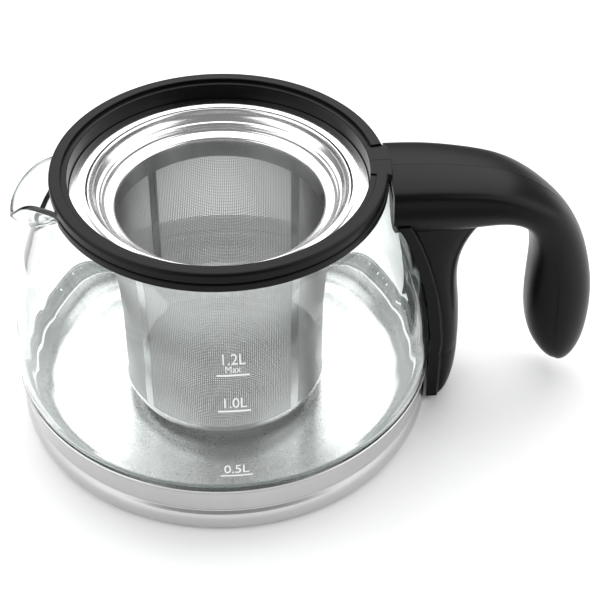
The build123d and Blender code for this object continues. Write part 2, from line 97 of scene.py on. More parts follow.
def sheet_object(name, points, wrap_rows=True, wrap_cols=True):
    """Object over a grid of points; open ends of a closed section get one flat face each."""
    rows, cols = points.shape[:2]
    faces = grid_faces(rows, cols, wrap_rows, wrap_cols).tolist()
    if wrap_rows and not wrap_cols:
        faces.append((np.arange(rows) * cols).tolist())
        faces.append((np.arange(rows) * cols + cols - 1).tolist())
    return mesh_object(name, points, faces)


def turned(profile, start=0.0, sweep=TURN, segments=SEGMENTS):
    """Profile turned about Z: point (i, j) is (r cos a, r sin a, z) for profile point i and angle j."""
    whole = abs(sweep - TURN) < 1e-9
    angle = start + np.linspace(0, sweep, segments, endpoint=not whole)
    r, z = profile[:, 0, None], profile[:, 1, None]
    return np.stack([r * np.cos(angle), r * np.sin(angle), z + 0 * angle], -1)


def rounded(points, radii, steps=6):
    """Closed outline with its corners rounded: each corner p becomes the curve
    (1-t)^2 a + 2t(1-t) p + t^2 b between points a and b on its two sides, with one more
    point on each side to keep the flats flat."""
    p = np.asarray(points, float)
    radii = np.broadcast_to(np.asarray(radii, float), (len(p),))[:, None]
    before, after = np.roll(p, 1, 0) - p, np.roll(p, -1, 0) - p
    long_b = np.linalg.norm(before, axis=1, keepdims=True)
    long_a = np.linalg.norm(after, axis=1, keepdims=True)
    cut = np.minimum(radii, 0.42 * np.minimum(long_b, long_a))
    a, b = p + before / long_b * cut, p + after / long_a * cut
    t = np.linspace(0, 1, steps)[:, None, None]
    curve = (1 - t) ** 2 * a + 2 * t * (1 - t) * p + t ** 2 * b
    lead = (p + before / long_b * cut * 1.15)[None]
    tail = (p + after / long_a * cut * 1.15)[None]
    return np.concatenate([lead, curve, tail]).transpose(1, 0, 2).reshape(-1, 2)


def rounded_table(table):
    """Rounded outline of a table of radius, height and corner radius."""
    table = np.array(table)
    return rounded(table[:, :2], table[:, 2])


def oblong(r_low, r_high, z_low, z_high):
    """Square-cornered outline between two radii and two heights."""
    return np.array([(r_low, z_low), (r_high, z_low), (r_high, z_high), (r_low, z_high)])


def turned_piece(name, profile, body, key, nodes, start=0.0, sweep=TURN, segments=SEGMENTS,
                 sharp=38.0):
    """Finished piece turned from a closed profile in millimetres, whole or over part of a turn."""
    points = turned(profile, start, sweep, segments) * MM
    piece = sheet_object(name, points, True, sweep == TURN)
    return finish_piece(piece, body, MATERIALS[key], nodes, sharp)


def cubic(x, y, at):
    """Natural cubic spline through (x, y), read at the given places."""
    x, y, at = (np.asarray(v, float) for v in (x, y, at))
    n = len(x)
    h = np.diff(x)
    system = np.eye(n)
    right = np.zeros((n,) + y.shape[1:])
    k = np.arange(1, n - 1)
    system[k, k - 1], system[k, k], system[k, k + 1] = h[:-1], 2 * (h[:-1] + h[1:]), h[1:]
    column = (slice(None),) + (None,) * (y.ndim - 1)
    slope = np.diff(y, axis=0) / h[column]
    right[1:-1] = 6 * (slope[1:] - slope[:-1])
    bend = np.linalg.solve(system, right)
    i = np.clip(np.searchsorted(x, at) - 1, 0, n - 2)
    u, v = (x[i + 1] - at)[column], (at - x[i])[column]
    w = h[i][column]
    return ((bend[i] * u ** 3 + bend[i + 1] * v ** 3) / (6 * w)
            + (y[i] / w - bend[i] * w / 6) * u + (y[i + 1] / w - bend[i + 1] * w / 6) * v)


def path_through(points, count):
    """Smooth line through points, by chord length, with count places along it."""
    p = np.asarray(points, float)
    along = np.concatenate([[0], np.cumsum(np.linalg.norm(np.diff(p, axis=0), axis=1))])
    return cubic(along, p, np.linspace(0, along[-1], count))


def thick_line(path, thickness):
    """Closed outline of a sheet: the path and its copy set off to the right by the thickness."""
    step = np.gradient(path, axis=0)
    step /= np.linalg.norm(step, axis=1, keepdims=True)
    side = np.stack([step[:, 1], -step[:, 0]], -1)
    return np.concatenate([path, (path + side * thickness)[::-1]])


# ---- shader groups -------------------------------------------------------------------------
def new_group(name, inputs, outputs):
    """Empty shader group with the named sockets; inputs are (name, kind, default)."""
    tree = bpy.data.node_groups.new(name, "ShaderNodeTree")
    for label, kind, default in inputs:
        socket = tree.interface.new_socket(label, in_out="INPUT", socket_type=kind)
        if default is not None:
            socket.default_value = default
    for label, kind in outputs:
        tree.interface.new_socket(label, in_out="OUTPUT", socket_type=kind)
    return tree, tree.nodes.new("NodeGroupInput"), tree.nodes.new("NodeGroupOutput")


def add_node(tree, kind, values=(), **settings):
    """New node with settings by name and input values by socket name or number."""
    node = tree.nodes.new(kind)
    for key, value in settings.items():
        setattr(node, key, value)
    for key, value in dict(values).items():
        node.inputs[key].default_value = value
    return node


def math_node(tree, operation, a, b=None, clamp=False):
    """Math node fed by sockets or numbers."""
    node = add_node(tree, "ShaderNodeMath", operation=operation, use_clamp=clamp)
    for k, value in enumerate((a, b)):
        if value is None:
            continue
        if isinstance(value, (int, float)):
            node.inputs[k].default_value = value
        else:
            tree.links.new(value, node.inputs[k])
    return node.outputs[0]


def grain_group():
    """Fine moulded or blasted grain: a fine noise given as height and a broad noise given as drift, kept
    apart.
    """
    tree, gin, gout = new_group(
        "Fine grain",
        [("Vector", "NodeSocketVector", None), ("Scale", "NodeSocketFloat", 900.0),
         ("Broad", "NodeSocketFloat", 40.0)],
        [("Height", "NodeSocketFloat"), ("Drift", "NodeSocketFloat")])
    fine = add_node(tree, "ShaderNodeTexNoise", {"Detail": 3.0, "Roughness": 0.6})
    broad = add_node(tree, "ShaderNodeTexNoise", {"Detail": 4.0, "Roughness": 0.55})
    for node, label in ((fine, "Scale"), (broad, "Broad")):
        tree.links.new(gin.outputs["Vector"], node.inputs["Vector"])
        tree.links.new(gin.outputs[label], node.inputs["Scale"])
    tree.links.new(fine.outputs["Fac"], gout.inputs["Height"])
    tree.links.new(broad.outputs["Fac"], gout.inputs["Drift"])
    return tree


def turning_group():
    """Lines left by turning or spinning: noise read at (distance from axis, height) with only a
    little change round the axis."""
    tree, gin, gout = new_group(
        "Turning lines",
        [("Vector", "NodeSocketVector", None), ("Density", "NodeSocketFloat", 1800.0),
         ("Drag", "NodeSocketFloat", 0.02)],
        [("Height", "NodeSocketFloat")])
    split = add_node(tree, "ShaderNodeSeparateXYZ")
    tree.links.new(gin.outputs["Vector"], split.inputs[0])
    x, y, z = split.outputs
    x_square = math_node(tree, "MULTIPLY", x, x)
    y_square = math_node(tree, "MULTIPLY", y, y)
    squares = math_node(tree, "ADD", x_square, y_square)
    radius = math_node(tree, "SQRT", squares)
    angle = math_node(tree, "MULTIPLY", math_node(tree, "ARCTAN2", y, x), gin.outputs["Drag"])
    place = add_node(tree, "ShaderNodeCombineXYZ")
    for k, socket in enumerate((radius, angle, z)):
        tree.links.new(socket, place.inputs[k])
    noise = add_node(tree, "ShaderNodeTexNoise", {"Detail": 2.0, "Roughness": 0.7})
    tree.links.new(place.outputs[0], noise.inputs["Vector"])
    tree.links.new(gin.outputs["Density"], noise.inputs["Scale"])
    tree.links.new(noise.outputs["Fac"], gout.inputs["Height"])
    return tree


def mark_group():
    """Handling marks: soft smudges and small dried drops, given as two masks from 0 to 1."""
    tree, gin, gout = new_group(
        "Handling marks",
        [("Vector", "NodeSocketVector", None), ("Smudge scale", "NodeSocketFloat", 18.0),
         ("Drop scale", "NodeSocketFloat", 260.0), ("Drop size", "NodeSocketFloat", 0.12)],
        [("Smudges", "NodeSocketFloat"), ("Drops", "NodeSocketFloat")])
    smudge = add_node(tree, "ShaderNodeTexNoise", {"Detail": 5.0, "Roughness": 0.6, "Distortion": 0.8})
    tree.links.new(gin.outputs["Vector"], smudge.inputs["Vector"])
    tree.links.new(gin.outputs["Smudge scale"], smudge.inputs["Scale"])
    rise = add_node(tree, "ShaderNodeMapRange", {"From Min": 0.5, "From Max": 0.8},
                    interpolation_type="SMOOTHSTEP")
    tree.links.new(smudge.outputs["Fac"], rise.inputs["Value"])
    cells = add_node(tree, "ShaderNodeTexVoronoi")
    tree.links.new(gin.outputs["Vector"], cells.inputs["Vector"])
    tree.links.new(gin.outputs["Drop scale"], cells.inputs["Scale"])
    drop = math_node(tree, "LESS_THAN", cells.outputs["Distance"], gin.outputs["Drop size"])
    tree.links.new(rise.outputs[0], gout.inputs["Smudges"])
    tree.links.new(drop, gout.inputs["Drops"])
    return tree


def wear_and_highlight_group():
    """Worn edges, and on plastic a painted edge highlight: where the surface is sharply convex, broken up
    by noise.
    """
    tree, gin, gout = new_group(
        "Edge wear and highlight",
        [("Pointiness", "NodeSocketFloat", 0.5), ("Vector", "NodeSocketVector", None),
         ("Start", "NodeSocketFloat", 0.53), ("Amount", "NodeSocketFloat", 0.5)],
        [("Mask", "NodeSocketFloat")])
    edge = add_node(tree, "ShaderNodeMapRange", {"From Max": 0.62}, interpolation_type="SMOOTHSTEP")
    tree.links.new(gin.outputs["Pointiness"], edge.inputs["Value"])
    tree.links.new(gin.outputs["Start"], edge.inputs["From Min"])
    noise = add_node(tree, "ShaderNodeTexNoise", {"Scale": 220.0, "Detail": 4.0})
    tree.links.new(gin.outputs["Vector"], noise.inputs["Vector"])
    broken = math_node(tree, "MULTIPLY", edge.outputs[0], noise.outputs["Fac"])
    mask = math_node(tree, "MULTIPLY", broken, gin.outputs["Amount"], clamp=True)
    tree.links.new(mask, gout.inputs["Mask"])
    return tree


GROUPS = {}


def make_groups():
    """Builds the four shared shader groups once."""
    GROUPS.update(grain=grain_group(), turning=turning_group(), marks=mark_group(), wear=wear_and_highlight_group())


# ---- materials -----------------------------------------------------------------------------
class Finish:
    """One material under construction: a Principled shader fed by the shared groups."""

    def __init__(self, name, color, **sockets):
        self.material = bpy.data.materials.new(name)
        self.material.use_nodes = True
        self.tree = self.material.node_tree
        self.shader = self.tree.nodes["Principled BSDF"]
        self.out = self.tree.nodes["Material Output"]
        self.place = add_node(self.tree, "ShaderNodeTexCoord").outputs["Object"]
        self.color = tuple(color)
        for key, value in sockets.items():
            self.shader.inputs[key.replace("_", " ")].default_value = value

    def group(self, key, **values):
        """Puts a shared group in, with its own values."""
        node = add_node(self.tree, "ShaderNodeGroup", node_tree=GROUPS[key])
        self.tree.links.new(self.place, node.inputs["Vector"])
        for label, value in values.items():
            node.inputs[label.replace("_", " ")].default_value = value
        return node

    def wear(self, **values):
        """Mask of sharply convex edges: edge wear on steel, a painted edge highlight on plastic; the
        shape's own convexity is read here, outside the group.
        """
        node = self.group("wear", **values)
        shape = add_node(self.tree, "ShaderNodeNewGeometry")
        self.tree.links.new(shape.outputs["Pointiness"], node.inputs["Pointiness"])
        return node.outputs["Mask"]

    def blend_color(self, mask, first, second):
        """Colour that goes from first to second by the mask."""
        node = add_node(self.tree, "ShaderNodeMix", data_type="RGBA")
        self.tree.links.new(mask, node.inputs["Factor"])
        for label, value in (("A", first), ("B", second)):
            socket = [s for s in node.inputs if s.name == label and s.type == "RGBA"][0]
            if isinstance(value, tuple):
                socket.default_value = (*value, 1.0)
            else:
                self.tree.links.new(value, socket)
        return [s for s in node.outputs if s.type == "RGBA"][0]

    def blend_value(self, mask, low, high):
        """Number that goes from low to high by the mask."""
        node = add_node(self.tree, "ShaderNodeMapRange", {"To Min": low, "To Max": high})
        self.tree.links.new(mask, node.inputs["Value"])
        return node.outputs[0]

    def feed(self, label, socket):
        self.tree.links.new(socket, self.shader.inputs[label])

    def bump(self, height, strength, distance):
        """Bump from a height in metres."""
        node = add_node(self.tree, "ShaderNodeBump", {"Strength": strength, "Distance": distance})
        self.tree.links.new(height, node.inputs["Height"])
        self.feed("Normal", node.outputs[0])

    def shade(self, factor):
        """The base colour, brighter or darker."""
        return tuple(min(1.0, c * factor) for c in self.color)


GLASS_DEPTH = (0.55, 0.62, 0.61, 1.0)   # what is left of white light deep in the glass
GLASS_DENSITY = 45.0


def clear_glass(settings):
    """Clear glass, faintly smudged; rays from lamps pass so that what is inside stays lit."""
    f = Finish("Clear glass", settings.tint, Transmission_Weight=1.0, IOR=1.47)
    marks = f.group("marks", Smudge_scale=14.0, Drop_scale=120.0, Drop_size=0.06)
    f.feed("Base Color", f.blend_color(marks.outputs["Smudges"], f.color, f.shade(0.985)))
    f.feed("Roughness", f.blend_value(marks.outputs["Smudges"], 0.0, 0.025))
    grain = f.group("grain", Scale=45.0, Broad=12.0)
    f.bump(grain.outputs["Drift"], 0.08, 0.0004)
    rays = add_node(f.tree, "ShaderNodeLightPath")
    clear = add_node(f.tree, "ShaderNodeBsdfTransparent", {"Color": (0.93, 0.95, 0.945, 1.0)})
    mix = add_node(f.tree, "ShaderNodeMixShader")
    f.tree.links.new(rays.outputs["Is Shadow Ray"], mix.inputs[0])
    f.tree.links.new(f.shader.outputs[0], mix.inputs[1])
    f.tree.links.new(clear.outputs[0], mix.inputs[2])
    f.tree.links.new(mix.outputs[0], f.out.inputs["Surface"])
    depth = add_node(f.tree, "ShaderNodeVolumeAbsorption",
                     {"Color": GLASS_DEPTH, "Density": GLASS_DENSITY})
    f.tree.links.new(depth.outputs[0], f.out.inputs["Volume"])
    return f.material


def steel(name, color, rough, lines, dirt=0.5, density=1800.0):
    """Stainless steel: turning lines in roughness and bump, tint drift, smudges, brighter edges."""
    f = Finish(name, color, Metallic=1.0)
    turning = f.group("turning", Density=density, Drag=0.02)
    marks = f.group("marks", Smudge_scale=22.0, Drop_scale=300.0, Drop_size=0.1)
    grain = f.group("grain", Scale=1200.0, Broad=30.0)
    drift = f.blend_color(grain.outputs["Drift"], f.shade(0.93), f.shade(1.05))
    stained = f.blend_color(marks.outputs["Smudges"], drift, f.shade(0.9))
    f.feed("Base Color", f.blend_color(f.wear(Amount=0.7), stained, f.shade(1.12)))
    base = f.blend_value(turning.outputs["Height"], rough * 0.8, rough * 1.25)
    extra = math_node(f.tree, "MULTIPLY", marks.outputs["Smudges"], 0.1 * dirt)
    f.feed("Roughness", math_node(f.tree, "ADD", base, extra))
    f.bump(turning.outputs["Height"], lines, 0.00004)
    return f.material


def plastic(name, color, rough, grain_scale=1500.0, grain=0.12, wear=0.35, shine=0.3):
    """Moulded plastic: fine spark grain, slow roughness drift, and sharp edges lightened as a painted
    highlight, as strong as wear says.
    """
    f = Finish(name, color, IOR=1.5, Specular_IOR_Level=shine)
    fine = f.group("grain", Scale=grain_scale, Broad=35.0)
    marks = f.group("marks", Smudge_scale=16.0, Drop_scale=420.0, Drop_size=0.07)
    drift = f.blend_color(fine.outputs["Drift"], f.shade(0.8), f.shade(1.25))
    # Sharp convex edges are lightened up to threefold here: a painted edge highlight, not dust or wear.
    drift_and_edge_highlight = f.blend_color(f.wear(Start=0.52, Amount=wear), drift, f.shade(3.0))
    f.feed("Base Color", drift_and_edge_highlight)
    base = f.blend_value(fine.outputs["Drift"], rough * 0.92, rough * 1.08)
    extra = math_node(f.tree, "MULTIPLY", marks.outputs["Smudges"], 0.05)
    f.feed("Roughness", math_node(f.tree, "ADD", base, extra))
    f.bump(fine.outputs["Height"], grain, 0.00003)
    return f.material


def enamel(name, color):
    """Fired white print: slightly uneven, satin."""
    f = Finish(name, color)
    fine = f.group("grain", Scale=2500.0, Broad=300.0)
    f.feed("Base Color", f.blend_color(fine.outputs["Drift"], f.shade(0.94), f.color))
    f.feed("Roughness", f.blend_value(fine.outputs["Drift"], 0.3, 0.45))
    f.bump(fine.outputs["Height"], 0.1, 0.00002)
    return f.material


MATERIALS = {}


# ---- settings ------------------------------------------------------------------------------
def length_property(label, text, value):
    return FloatProperty(name=label, description=text, default=value, unit="LENGTH", precision=5)


def color_property(label, text, value):
    return FloatVectorProperty(name=label, description=text, default=value, size=3, subtype="COLOR",
                               min=0.0, max=1.0)


class JugGlassSettings(bpy.types.PropertyGroup):
    wall: length_property("Wall", "Thickness of the glass body", 2.6 * MM)
    lip_wall: length_property("Lip wall", "Thickness of the glass at the beak and rim", 2.2 * MM)
    tint: color_property("Tint", "Colour of the glass", (0.965, 0.985, 0.98))


class JugMarkSettings(bpy.types.PropertyGroup):
    height: length_property("Number height", "Text size of the level numbers", 5.2 * MM)
    line: length_property("Line width", "Height of the line under each number", 0.6 * MM)
    color: color_property("Print", "Colour of the level marks", (0.97, 0.97, 0.97))


class JugSteelSettings(bpy.types.PropertyGroup):
    band: color_property("Band", "Colour of the polished band", (0.56, 0.56, 0.56))
    pan: color_property("Pan", "Colour of the pan", (0.68, 0.68, 0.68))
    infuser: color_property("Infuser", "Colour of the infuser's sheet", (0.70, 0.70, 0.70))
    mesh: color_property("Mesh", "Colour of the perforated sheet", (0.50, 0.50, 0.495))


class JugMeshSettings(bpy.types.PropertyGroup):
    pitch: length_property("Hole pitch", "Distance between holes", 0.75 * MM)
    open_share: FloatProperty(name="Hole share", description="Hole width as a share of the pitch",
                              default=0.56, min=0.2, max=0.9, subtype="FACTOR")
    sheet: length_property("Sheet", "Thickness of the perforated sheet", 0.22 * MM)
    strip: length_property("Strip", "Width of the plain strips between panels", 3.8 * MM)


class JugPlasticSettings(bpy.types.PropertyGroup):
    black: color_property("Plastic", "Colour of the moulded plastic", (0.0028, 0.0028, 0.003))
    rubber: color_property("Rubber", "Colour of the pad behind the strut", (0.01, 0.01, 0.01))
    silicone: color_property("Silicone", "Colour of the seal and gasket", (0.5, 0.51, 0.51))


class JugStageSettings(bpy.types.PropertyGroup):
    floor: color_property("Floor", "Colour of the floor", (0.96, 0.96, 0.96))
    lens: FloatProperty(name="Lens", description="Focal length of the camera", default=90.77, unit="CAMERA")


# ---- operators -----------------------------------------------------------------------------
class JUG_OT_finishes(bpy.types.Operator):
    """Makes the shader groups and the materials"""
    bl_idname = "tea_jug.finishes"
    bl_label = "Materials"

    def execute(self, context):
        scene = context.scene
        steels, plastics = scene.jug_steel, scene.jug_plastic
        make_groups()
        MATERIALS["glass"] = clear_glass(scene.jug_glass)
        MATERIALS["band"] = steel("Polished steel", steels.band, 0.14, 0.06)
        MATERIALS["pan"] = steel("Satin steel", steels.pan, 0.27, 0.12)
        MATERIALS["infuser"] = steel("Spun steel", steels.infuser, 0.2, 0.05, density=900.0)
        MATERIALS["mesh"] = steel("Etched steel", steels.mesh, 0.3, 0.0)
        MATERIALS["hidden"] = steel("Plated steel", (0.6, 0.6, 0.58), 0.3, 0.2)
        MATERIALS["plate"] = steel("Turned aluminium", (0.72, 0.72, 0.71), 0.3, 0.6, density=900.0)
        MATERIALS["black"] = plastic("Black plastic", plastics.black, 0.31, shine=0.12)
        MATERIALS["rubber"] = plastic("Black rubber", plastics.rubber, 0.6, 900.0, 0.3, 0.1)
        MATERIALS["silicone"] = plastic("Pale silicone", plastics.silicone, 0.45, 900.0, 0.2, 0.0)
        MATERIALS["print"] = enamel("White print", scene.jug_marks.color)
        return {"FINISHED"}


BODY_CURVE = np.array([   # radius and height of the glass, from the band up, in millimetres
    (79.4, 24.0), (79.9, 29.0), (79.6, 35.0), (78.9, 41.0), (78.2, 47.0), (77.1, 53.5), (75.8, 59.5),
    (74.1, 65.5), (72.3, 71.4), (70.1, 77.5), (68.4, 81.6), (66.0, 86.5), (63.2, 91.0), (60.6, 94.6),
    (59.15, 98.2), (59.0, 101.3)])
FOOT_CURVE = np.array([(77.2, 16.6), (77.2, 20.0), (77.25, 21.9), (78.1, 22.5), (79.0, 22.9)])
BEAK = np.array([         # degrees off the beak's middle; where it leaves the body; its rim
    # angle, leave height, rim radius, rim height
    (0.0, 84.0, 75.5, 89.2), (3.05, 84.9, 75.2, 90.6), (5.69, 87.0, 73.8, 93.2), (7.36, 88.6, 71.9, 96.0),
    (9.68, 91.0, 69.1, 98.8), (13.3, 94.6, 65.2, 100.2), (16.1, 96.6, 62.2, 100.25),
    (19.5, 98.0, 60.1, 100.2), (24.0, 98.6, 59.05, 100.2), (30.0, 98.6, 59.0, 100.2),
    (40.0, 98.6, 59.0, 100.2)])
BEAK_HALF = math.radians(27.0)   # half angle over which the grid is fine
BEAK_LAST = 38.0          # past this angle the beak's table is held
FINE_COLS, COARSE_COLS = 91, 161
BODY_ROWS, BEAK_ROWS, LIP_ROWS = 72, 22, 9
ELBOW_IN, ELBOW_UP = 0.3, 0.24   # place of the beak's elbow between body and rim
THIN_FROM, THIN_OVER = 70.0, 20.0   # height where the wall starts to thin, and over how much


def body_radius(height):
    """Outer radius of the glass at a height, both in millimetres."""
    return cubic(BODY_CURVE[:, 1], BODY_CURVE[:, 0], height)


def glass_points(wall, lip_wall):
    """Closed glass wall on a grid. Down the rows the outside goes from the foot up the body curve
    to the height where the beak leaves it, then along (1-t)^2 body + 2t(1-t) elbow + t^2 rim;
    over the rim on a half circle; and back inside, set in along the outside's normal by the wall."""
    fine = np.linspace(-BEAK_HALF, BEAK_HALF, FINE_COLS)[:-1]
    rest = np.linspace(BEAK_HALF, TURN - BEAK_HALF, COARSE_COLS)[:-1]
    off = np.concatenate([fine, rest])
    angle = off + math.pi
    turn = np.abs((off + math.pi) % TURN - math.pi)
    table = np.concatenate([BEAK[:0:-1] * (-1, 1, 1, 1), BEAK])
    leave, rim_r, rim_z = cubic(table[:, 0], table[:, 1:], np.clip(np.degrees(turn), 0, BEAK_LAST)).T
    low = FOOT_CURVE[:, :, None] + 0 * off
    share = np.linspace(0, 1, BODY_ROWS)[:, None]
    mid_z = BODY_CURVE[0, 1] + (leave - BODY_CURVE[0, 1]) * share
    mid_r = body_radius(mid_z.ravel()).reshape(mid_z.shape)
    t = np.linspace(0, 1, BEAK_ROWS)[1:, None]
    elbow_r = rim_r - ELBOW_IN * (rim_r - mid_r[-1])
    elbow_z = leave + ELBOW_UP * (rim_z - leave)
    up_r = (1 - t) ** 2 * mid_r[-1] + 2 * t * (1 - t) * elbow_r + t ** 2 * rim_r
    up_z = (1 - t) ** 2 * leave + 2 * t * (1 - t) * elbow_z + t ** 2 * rim_z
    r = np.concatenate([low[:, 0], mid_r, up_r])
    z = np.concatenate([low[:, 1], mid_z, up_z])
    outside = np.stack([r * np.cos(angle), r * np.sin(angle), z], -1)
    along = np.gradient(outside, axis=0)
    around = (np.roll(outside, -1, 1) - np.roll(outside, 1, 1))
    normal = np.cross(around, along)
    normal /= np.linalg.norm(normal, axis=-1, keepdims=True)
    radial = np.stack([np.cos(angle), np.sin(angle), 0 * angle], -1) + 0 * outside
    foot = (np.arange(len(r)) < len(low) + 2)[:, None, None]
    normal = np.where(foot, radial, normal)
    height = np.clip((z - THIN_FROM) / THIN_OVER, 0, 1)[..., None]
    depth = wall + (lip_wall - wall) * height
    inside = outside - normal * depth
    tangent = along[-1] / np.linalg.norm(along[-1], axis=-1, keepdims=True)
    half = np.linspace(0, math.pi, LIP_ROWS)[1:-1, None, None]
    middle = (outside[-1] + inside[-1]) / 2
    over = middle + depth[-1] / 2 * (np.cos(half) * normal[-1] + np.sin(half) * tangent)
    return np.concatenate([outside, over, inside[::-1]])


class JUG_OT_glass(bpy.types.Operator):
    """Blown glass body with its pouring beak"""
    bl_idname = "tea_jug.glass"
    bl_label = "Glass"

    def execute(self, context):
        settings = context.scene.jug_glass
        points = glass_points(settings.wall / MM, settings.lip_wall / MM) * MM
        body = sheet_object("glass_shell", points)
        finish_piece(body, JUG, MATERIALS["glass"], ["glass_body"], sharp=70.0)
        return {"FINISHED"}


MARKS = (                 # words, text share of the number height, height, line height or None
    ("number_12", "1.2L", 1.0, 75.6, None),
    ("number_max", "Max", 0.62, 72.9, 72.2),
    ("number_10", "1.0L", 1.0, 60.1, 59.1),
    ("number_05", "0.5L", 1.0, 32.2, 31.2))
MARK_MIDDLE = 0.5         # millimetres to the +X side of the front
MARK_LINE_HALF = 5.6
MARK_LIFT = 0.04
MARK_SKIN = 0.05


def on_glass(x, height, lift):
    """Point on the glass front: x is run round as an arc, height is kept, and the radius is the
    glass's own at that height plus the lift. All in millimetres."""
    r = body_radius(height) + lift
    angle = -math.pi / 2 + x / r
    return np.stack([r * np.cos(angle), r * np.sin(angle), height], -1)


class JUG_OT_marks(bpy.types.Operator):
    """Printed level numbers and lines"""
    bl_idname = "tea_jug.marks"
    bl_label = "Level marks"

    def execute(self, context):
        settings = context.scene.jug_marks
        for name, words, share, low, line in MARKS:
            curve = bpy.data.curves.new(name, "FONT")
            curve.body = words
            curve.size = settings.height / MM * share
            curve.align_x = "CENTER"
            curve.extrude = MARK_SKIN / 2
            curve.resolution_u = 6
            text = bpy.data.objects.new(name, curve)
            context.scene.collection.objects.link(text)
            context.view_layer.update()
            mesh = bpy.data.meshes.new_from_object(text)
            bpy.data.objects.remove(text)
            flat = np.zeros(len(mesh.vertices) * 3)
            mesh.vertices.foreach_get("co", flat)
            flat = flat.reshape(-1, 3)
            placed = on_glass(flat[:, 0] + MARK_MIDDLE, flat[:, 1] + low, flat[:, 2] + MARK_LIFT) * MM
            mesh.vertices.foreach_set("co", placed.astype(np.float32).ravel())
            obj = bpy.data.objects.new(name, mesh)
            context.scene.collection.objects.link(obj)
            finish_piece(obj, JUG, MATERIALS["print"], ())
            if line is None:
                continue
            x = np.linspace(-MARK_LINE_HALF, MARK_LINE_HALF, 41)[None] + MARK_MIDDLE
            corner = np.array([(0, 0), (1, 0), (1, 1), (0, 1)], float)
            high = line - corner[:, 0, None] * settings.line / MM + 0 * x
            lift = MARK_LIFT + (corner[:, 1, None] - 0.5) * MARK_SKIN + 0 * x
            points = on_glass((x + 0 * high).ravel(), high.ravel(), lift.ravel()).reshape(4, -1, 3)
            bar = sheet_object(name + "_line", points * MM, True, False)
            finish_piece(bar, JUG, MATERIALS["print"], ())
        return {"FINISHED"}


BAND_OUTLINE = (          # radius, height and corner radius of the band, in millimetres
    (74.0, 0.0, 0.3), (77.7, 0.0, 1.6), (79.15, 3.2, 2.2), (79.05, 7.2, 1.6), (77.55, 10.3, 0.45),
    (78.45, 11.3, 0.5), (79.3, 20.6, 0.6), (79.75, 21.4, 0.4), (79.55, 22.3, 0.35), (77.7, 22.3, 0.2),
    (77.7, 14.5, 0.2), (76.7, 11.2, 0.3), (76.7, 1.0, 0.3), (74.0, 1.0, 0.3))
PAN_LINE = ((74.0, 15.0), (73.16, 10.79), (70.78, 7.22), (67.21, 4.84), (63.0, 4.0))
PAN_SHEET = 0.8


class JUG_OT_base(bpy.types.Operator):
    """Polished band with its foot bead, and the pan inside it"""
    bl_idname = "tea_jug.base"
    bl_label = "Steel base"

    def execute(self, context):
        turned_piece("band_ring", rounded_table(BAND_OUTLINE), JUG, "band", ["base_skirt"])
        heel = path_through(PAN_LINE, 24)
        floor_r, floor_z = PAN_LINE[-1]
        inward = np.linspace(floor_r, 0.0, 16)[1:]
        floor = np.stack([inward, np.full(len(inward), floor_z)], -1)
        upper = np.concatenate([[(77.6, 15.3), (74.6, 15.3)], heel, floor])
        lower = thick_line(upper[2:], -PAN_SHEET)[len(upper) - 2:]
        lower[0, 0] = 0.0
        profile = np.concatenate([upper, lower, [(74.9, 14.5), (77.6, 14.5)]])
        turned_piece("pan_sheet", profile, JUG, "pan", ["base_pan"])
        return {"FINISHED"}


RING_OUTLINE = (          # the ring above the notch floor
    (56.1, 106.1, 0.4), (60.4, 106.1, 1.3), (60.4, 102.3, 0.25), (53.95, 102.3, 0.05),
    (53.95, 104.9, 0.3), (56.1, 104.9, 0.1))
SLEEVE_OUTLINE = (
    (53.95, 102.3, 0.05), (56.3, 102.3, 0.1), (56.3, 96.6, 0.4), (50.6, 96.6, 0.5), (50.6, 98.2, 0.4),
    (53.95, 98.2, 0.3))
CLAMP_OUTLINE = ((59.3, 98.9, 0.15), (60.8, 98.9, 0.6), (60.8, 102.0, 0.6), (59.3, 102.0, 0.15))
NOTCH_HALF = math.asin(8.6 / 57.5)
SPOUT_GAP = math.asin(22.0 / 60.8)


class JUG_OT_collar(bpy.types.Operator):
    """Black collar: ring, sleeve and clamp"""
    bl_idname = "tea_jug.collar"
    bl_label = "Collar"

    def execute(self, context):
        pieces = (
            ("collar_top", RING_OUTLINE, NOTCH_HALF, TURN - 2 * NOTCH_HALF, ["collar_ring"]),
            ("collar_sleeve", SLEEVE_OUTLINE, 0.0, TURN, ["collar_ring"]),
            ("collar_clamp", CLAMP_OUTLINE, math.pi + SPOUT_GAP, TURN - 2 * SPOUT_GAP, ["collar_skirt"]))
        for name, outline, start, sweep, nodes in pieces:
            turned_piece(name, rounded_table(outline), JUG, "black", nodes, start, sweep)
        return {"FINISHED"}


FUNNEL_LINE = (           # upper face of the funnel from the flange to the mouth
    (53.6, 98.7), (51.5, 98.7), (49.6, 98.6), (48.2, 98.25), (47.5, 98.55), (46.95, 98.75), (46.5, 98.4),
    (46.2, 97.4), (45.7, 96.2), (44.9, 95.3), (43.9, 94.55), (43.35, 94.35), (43.0, 93.8), (42.6, 93.55),
    (42.25, 93.3), (42.1, 92.6), (41.7, 92.0), (40.9, 91.7), (39.6, 91.35), (38.7, 91.1), (38.15, 90.7),
    (37.95, 90.0), (37.9, 88.5), (37.9, 86.0), (37.9, 82.9))
STEEL = 0.5
CUP_LINE = (
    (38.9, 13.4), (38.9, 12.6), (38.52, 10.5), (37.43, 8.87), (35.8, 7.78), (33.9, 7.4), (32.6, 7.4))
STRIP_ANGLES = (130.0, 40.0, -50.0, -140.0)
WALL_R = 38.65
WALL_LOW = 13.0
WALL_HIGH = 88.0
STRIP_RISE = 0.2          # half thickness of a plain strip and of the seam's folds
SEAM_RISE = 0.42
SEAM_FOLD = 0.9           # width of a fold, and its distance from the seam's middle
SEAM_SIDE = 1.2


